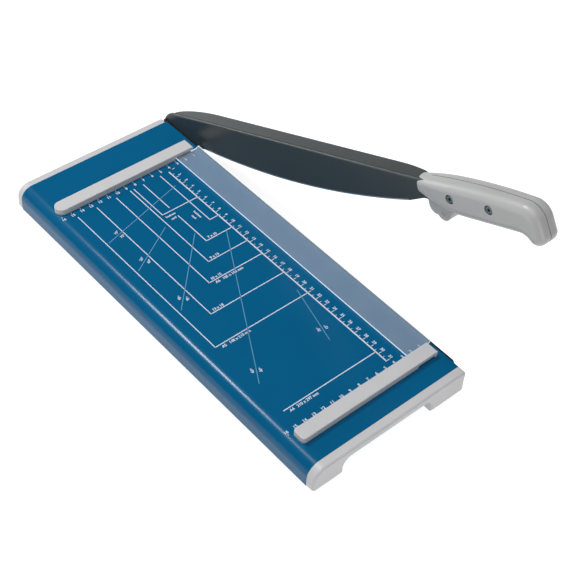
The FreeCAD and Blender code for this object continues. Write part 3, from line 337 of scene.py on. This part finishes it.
def stroke(bm, start, end, width):
    """Flat bar of ink from start to end, both as (across, along) in mm."""
    first = on_bed(start[0], start[1], INK_LIFT)
    second = on_bed(end[0], end[1], INK_LIFT)
    along = (second - first).normalized()
    side = Vector((-along.y, along.x, 0)) * (width * MM / 2)
    top = Vector((0, 0, INK_THICKNESS * MM))
    corners = [first - side, second - side, second + side, first + side]
    low = [bm.verts.new(corner) for corner in corners]
    high = [bm.verts.new(corner + top) for corner in corners]
    bm.faces.new(list(reversed(low)))
    bm.faces.new(high)
    for number in range(4):
        after = (number + 1) % 4
        bm.faces.new([low[number], low[after], high[after], high[number]])


def label(bm, text, place, turn=0.0, size=TEXT_SIZE, align="LEFT"):
    """Text lying on the bed, its baseline starting at place, or centred on it, and turned by turn degrees."""
    curve = bpy.data.curves.new("label", "FONT")
    curve.body = text
    curve.size = size * MM
    curve.extrude = INK_THICKNESS * MM / 2
    curve.offset = TEXT_WEIGHT * MM * size
    curve.align_x = align
    curve.resolution_u = 2
    letters = bpy.data.objects.new("label", curve)
    bpy.context.collection.objects.link(letters)
    mesh = bpy.data.meshes.new_from_object(letters.evaluated_get(bpy.context.evaluated_depsgraph_get()))
    lift = INK_LIFT + INK_THICKNESS / 2
    mesh.transform(Matrix.Translation(on_bed(*place, lift)) @ Matrix.Rotation(radians(turn), 4, "Z"))
    bm.from_mesh(mesh)
    bpy.data.objects.remove(letters)
    bpy.data.curves.remove(curve)
    bpy.data.meshes.remove(mesh)


def piece(name, bm, *materials):
    """Object from finished geometry in the shared frame."""
    mesh = bpy.data.meshes.new(name)
    bm.to_mesh(mesh)
    bm.free()
    made = bpy.data.objects.new(name, mesh)
    bpy.context.collection.objects.link(made)
    for material in materials:
        mesh.materials.append(material)
    return made


def printed_ruler(ink):
    """Centimetre ruler beside the guard, with a shorter tick at each half centimetre."""
    bm = bmesh.new()
    last = SCALE_LENGTH * CM
    stroke(bm, (RULER_LEFT, RULER_START), (RULER_LEFT, last + RULER_OVERRUN), RULER_WIDTH)
    for tick in range(RULER_START + CM, last + 1, CM):
        half = tick - CM / 2
        stroke(bm, (RULER_LEFT, tick), (RULER_LEFT - RULER_TICK, tick), RULER_TICK_WIDTH)
        stroke(bm, (RULER_LEFT, half), (RULER_LEFT - RULER_HALF_TICK, half), TICK_WIDTH)
    for number in range(1, SCALE_LENGTH + 1):
        place = (RULER_LEFT - RULER_TEXT_GAP, number * CM - RULER_TEXT_DROP)
        label(bm, str(number), place, -90.0, RULER_TEXT_SIZE, "CENTER")
    return piece("printed_ruler", bm, ink)


def printed_cross_rulers(ink):
    """Centimetre numerals along both paper stops, with a tick at each."""
    bm = bmesh.new()
    front = (STOP_Y - FRONT_STOP_Y) / MM
    for number in range(1, CROSS_LENGTH + 1):
        across = number * CM
        label(bm, str(number), (across, BACK_TEXT_LINE), 0.0, CROSS_TEXT_SIZE, "CENTER")
        stroke(bm, (across, BACK_TICK[0]), (across, BACK_TICK[1]), TICK_WIDTH)
        label(bm, str(number), (across, front - FRONT_TEXT_LINE), 0.0, CROSS_TEXT_SIZE, "CENTER")
        stroke(bm, (across, front - FRONT_TICK[0]), (across, front - FRONT_TICK[1]), TICK_WIDTH)
    return piece("printed_cross_rulers", bm, ink)


# Paper and card formats as (width, length) in mm. The first outline has a gap for the words across it.
PAPER_CORNERS = ((74, 105), (89, 127), (105, 148), (127, 178), (148, 210))
PHOTO_NAMES = ("7 x 10", "9 x 13", "10 x 15", "13 x 18")
CARD_CORNERS = ((85, 54), (54, 85))
OUTLINE_START = 9.5
OUTLINE_GAP = (50, 63)
A4_LENGTH = 297
A4_OUTLINE_LEFT = 147.5
ISO_NAMES = (
    ((148, 297), "A4   210 x 297 mm"),
    ((148, 210), "A5   148 x 210 mm"),
    ((105, 148), "A6   105 x 148 mm"),
)
PHOTO_NAME_OFFSET = (3.8, 1.5)
ISO_NAME_OFFSET = (5.0, 4.4)
CARD_TEXT_SIZE = 3.2
CARD_WORDS = (
    ("business", (84.5, 59.5), 0.0),
    ("card", (82.0, 64.5), 0.0),
    ("business", (59.5, 67.0), -90.0),
    ("card", (64.5, 70.5), -90.0),
)


def outline(bm, across, along):
    """Left and front edge of a format, from the back stop round to the ruler."""
    stroke(bm, (across, OUTLINE_START), (across, along + LINE_WIDTH / 2), LINE_WIDTH)
    stroke(bm, (across, along), (RULER_LEFT, along), LINE_WIDTH)


def printed_formats(ink):
    """Corner outlines of the paper formats, with their names."""
    bm = bmesh.new()
    for across, along in PAPER_CORNERS[1:] + CARD_CORNERS:
        outline(bm, across, along)
    across, along = PAPER_CORNERS[0]
    stroke(bm, (across, OUTLINE_START), (across, OUTLINE_GAP[0]), LINE_WIDTH)
    stroke(bm, (across, OUTLINE_GAP[1]), (across, along + LINE_WIDTH / 2), LINE_WIDTH)
    stroke(bm, (across, along), (RULER_LEFT, along), LINE_WIDTH)
    stroke(bm, (A4_OUTLINE_LEFT, A4_LENGTH), (RULER_LEFT, A4_LENGTH), LINE_WIDTH)
    for corner, name in zip(PAPER_CORNERS, PHOTO_NAMES):
        label(bm, name, (corner[0] - PHOTO_NAME_OFFSET[0], corner[1] - PHOTO_NAME_OFFSET[1]))
    for corner, name in ISO_NAMES:
        label(bm, name, (corner[0] - ISO_NAME_OFFSET[0], corner[1] + ISO_NAME_OFFSET[1]))
    for word, place, turn in CARD_WORDS:
        label(bm, word, place, turn, CARD_TEXT_SIZE)
    return piece("printed_formats", bm, ink)


# Guide lines as (angle in degrees, start, end), both ends as (across, along) in mm.
ANGLE_LINES = (
    (15, (51.1, 29.1), (145.4, 54.3)),
    (30, (92.8, 68.5), (145.2, 98.5)),
    (45, (76.2, 91.0), (144.7, 159.0)),
    (60, (51.6, 106.4), (144.2, 262.9)),
    (75, (49.3, 201.7), (65.8, 263.2)),
)
DEGREE_SETBACK = 12.0
DEGREE_ABOVE = 2.2
DEGREE_BELOW = 5.0
DEGREE_TEXT_SIZE = 3.6


def printed_angles(ink):
    """Thin, pale guide lines for cutting at an angle."""
    bm = bmesh.new()
    for _, start, end in ANGLE_LINES:
        stroke(bm, start, end, THIN_WIDTH)
    return piece("printed_angle_lines", bm, ink)


def printed_degrees(ink):
    """Degree numbers on both sides of each guide line, near its outer end."""
    bm = bmesh.new()
    for angle, _, end in ANGLE_LINES:
        turn = radians(angle)
        back = Vector((-cos(turn), -sin(turn)))
        across = Vector((sin(turn), -cos(turn)))
        anchor = Vector(end) + back * DEGREE_SETBACK
        upper = anchor + across * DEGREE_ABOVE
        lower = anchor - across * DEGREE_BELOW
        for spot, value in ((upper, angle), (lower, 90 - angle)):
            label(bm, str(value) + "°", (spot.x, spot.y), angle, DEGREE_TEXT_SIZE)
    return piece("printed_degrees", bm, ink)


# ---------------------------------------------------------------- ground edge of the blade arm

EDGE_START = Vector((40.5, 30.9))
EDGE_DEEPEST = Vector((157.85, 38.1))
EDGE_TIP = Vector((330.0, 22.6))
EDGE_INSET = 0.1
EDGE_WIDTH = 1.3
EDGE_LIFT = 0.05
EDGE_STEPS = 48


def circle_through(first, second, third):
    """Centre and radius of the circle through three flat points."""
    turned = Vector((first.y - second.y, second.x - first.x))
    middle = (first + second) / 2
    chord = third - second
    reach = (chord.dot((second + third) / 2 - middle)) / chord.dot(turned)
    centre = middle + turned * reach
    return centre, (first - centre).length


def ground_edge(steel):
    """Narrow bright ribbon that grinding leaves along the flat side of the cutting edge."""
    centre, radius = circle_through(EDGE_START, EDGE_DEEPEST, EDGE_TIP)
    first = EDGE_START - centre
    sweep = first.angle_signed(EDGE_TIP - centre)
    bm = bmesh.new()
    rows = []
    for step in range(EDGE_STEPS + 1):
        spoke = first.copy()
        spoke.rotate(Matrix.Rotation(-sweep * step / EDGE_STEPS, 2))
        low = centre + spoke.normalized() * (radius - EDGE_INSET)
        high = centre + spoke.normalized() * (radius - EDGE_WIDTH)
        rows.append([bm.verts.new(on_arm(ARM_FACE - EDGE_LIFT, *point)) for point in (low, high)])
    for before, after in zip(rows, rows[1:]):
        bm.faces.new([before[0], after[0], after[1], before[1]])
    bmesh.ops.recalc_face_normals(bm, faces=bm.faces)
    bmesh.ops.solidify(bm, geom=bm.faces, thickness=EDGE_LIFT * MM / 2)
    return piece("ground_edge", bm, steel)


# ---------------------------------------------------------------- dressing the frame

def dress(names, material):
    for name in names:
        node = frame["nodes"][name]
        node.data.materials.clear()
        node.data.materials.append(material)


def dress_all():
    """Give every CAD node its material."""
    grey = moulded_plastic("grey_plastic", "#BABABC", "#C2C2C4", 0.42)
    handle_grey = moulded_plastic("handle_plastic", "#A1A2A1", "#A9AAA9", 0.34)
    black = moulded_plastic("black_plastic", "#141516", "#1B1C1D", 0.4)
    nylon = moulded_plastic("white_nylon", "#E1E1DC", "#EBEBE7", 0.45)
    oxide = black_oxide()
    zinc = zinc_plate()
    dress(["bed_plate"], bed_enamel())
    dress(["back_end_cap", "front_end_cap", "back_stop", "front_stop"], grey)
    dress(["handle_left", "handle_right", "lock_pin"], handle_grey)
    dress(["lock_knob"], black)
    dress(["guard_spacers"], nylon)
    dress(["fixed_blade", "blade_screws"], oxide)
    dress(["blade_arm"], arm_enamel())
    dress(["clear_guard"], clear_sheet())
    dress(["rubber_feet"], foot_rubber())
    dress(["pivot_block"], cast_alloy())
    dress(["cap_screws", "blade_nuts", "stop_screws", "pivot_bolt", "pivot_washer", "pivot_spring",
           "pivot_nut", "handle_nuts"], zinc)
    dress(["handle_bolts"], passivated_zinc())


def printed_marks():
    ink = print_ink("white_ink", "#D6DCE8", "#BDC6D6")
    pale = print_ink("pale_ink", "#5E93B4", "#4F88AC")
    for made in (printed_ruler(ink), printed_cross_rulers(ink), printed_formats(ink),
                 printed_angles(pale), printed_degrees(ink)):
        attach(made, "base")


# ---------------------------------------------------------------- floor, light and camera

FLOOR_REACH = 30.0


def floor():
    material, shader = new_material("pale_floor")
    shader.inputs["Base Color"].default_value = linear("#A0A0A0")
    shader.inputs["Roughness"].default_value = 0.9
    shader.inputs["Emission Color"].default_value = linear("#FFFFFF")
    shader.inputs["Emission Strength"].default_value = 0.85
    bm = bmesh.new()
    bmesh.ops.create_grid(bm, x_segments=1, y_segments=1, size=FLOOR_REACH)
    bmesh.ops.translate(bm, verts=bm.verts, vec=Vector((0, 0, DESK_Z)))
    made = piece("floor", bm, material)


def softbox(name, place, aim, size, power):
    light = bpy.data.lights.new(name, "AREA")
    light.shape = "RECTANGLE"
    light.size = size[0]
    light.size_y = size[1]
    light.energy = power
    made = bpy.data.objects.new(name, light)
    made.location = place
    made.rotation_mode = "QUATERNION"
    made.rotation_quaternion = (Vector(aim) - Vector(place)).to_track_quat("-Z", "Y")
    bpy.context.collection.objects.link(made)


# Softboxes as (name, place from the object's middle in m, size in m, watts).
LIGHTS = (
    ("top_softbox", (-0.3, -0.15, 1.45), (1.3, 1.3), 12),
    ("back_strip", (-0.45, 1.38, 0.33), (0.35, 0.8), 6),
    ("roll_light", (-0.27, 0.82, 1.35), (0.32, 0.32), 16),
    ("front_fill", (-0.15, -1.4, 0.45), (0.6, 0.6), 4.2),
)
SKY = 0.08


def studio():
    world = bpy.data.worlds.new("studio")
    world.use_nodes = True
    world.node_tree.nodes["Background"].inputs["Color"].default_value = (1, 1, 1, 1)
    world.node_tree.nodes["Background"].inputs["Strength"].default_value = SKY
    bpy.context.scene.world = world
    middle = (cad_low + cad_high) / 2
    for name, place, size, power in LIGHTS:
        softbox(name, middle + Vector(place), middle, size, power)
    bpy.context.scene.view_settings.view_transform = "Standard"


CAMERA_PLACE = (-628.77, -778.99, 849.64)
CAMERA_FORWARD = (0.48622, 0.49747, -0.71841)
CAMERA_UP = (0.43933, 0.57151, 0.69309)
CAMERA_LENS = 84.72


def camera():
    """Long lens looking down from the front left, a little tilted."""
    data = bpy.data.cameras.new("camera")
    data.lens = CAMERA_LENS
    data.sensor_width = 36.0
    made = bpy.data.objects.new("camera", data)
    forward = Vector(CAMERA_FORWARD).normalized()
    right = forward.cross(Vector(CAMERA_UP)).normalized()
    up = right.cross(forward)
    turn = Matrix((right, up, -forward)).transposed()
    place = Vector(CAMERA_PLACE) * MM + Vector((CUT_X, STOP_Y, TABLE_Z))
    made.matrix_world = Matrix.Translation(place) @ turn.to_4x4()
    bpy.context.collection.objects.link(made)
    bpy.context.scene.camera = made


dress_all()
printed_marks()
cut = ground_edge(ground_steel())
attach(cut, "arm")
floor()
studio()
camera()
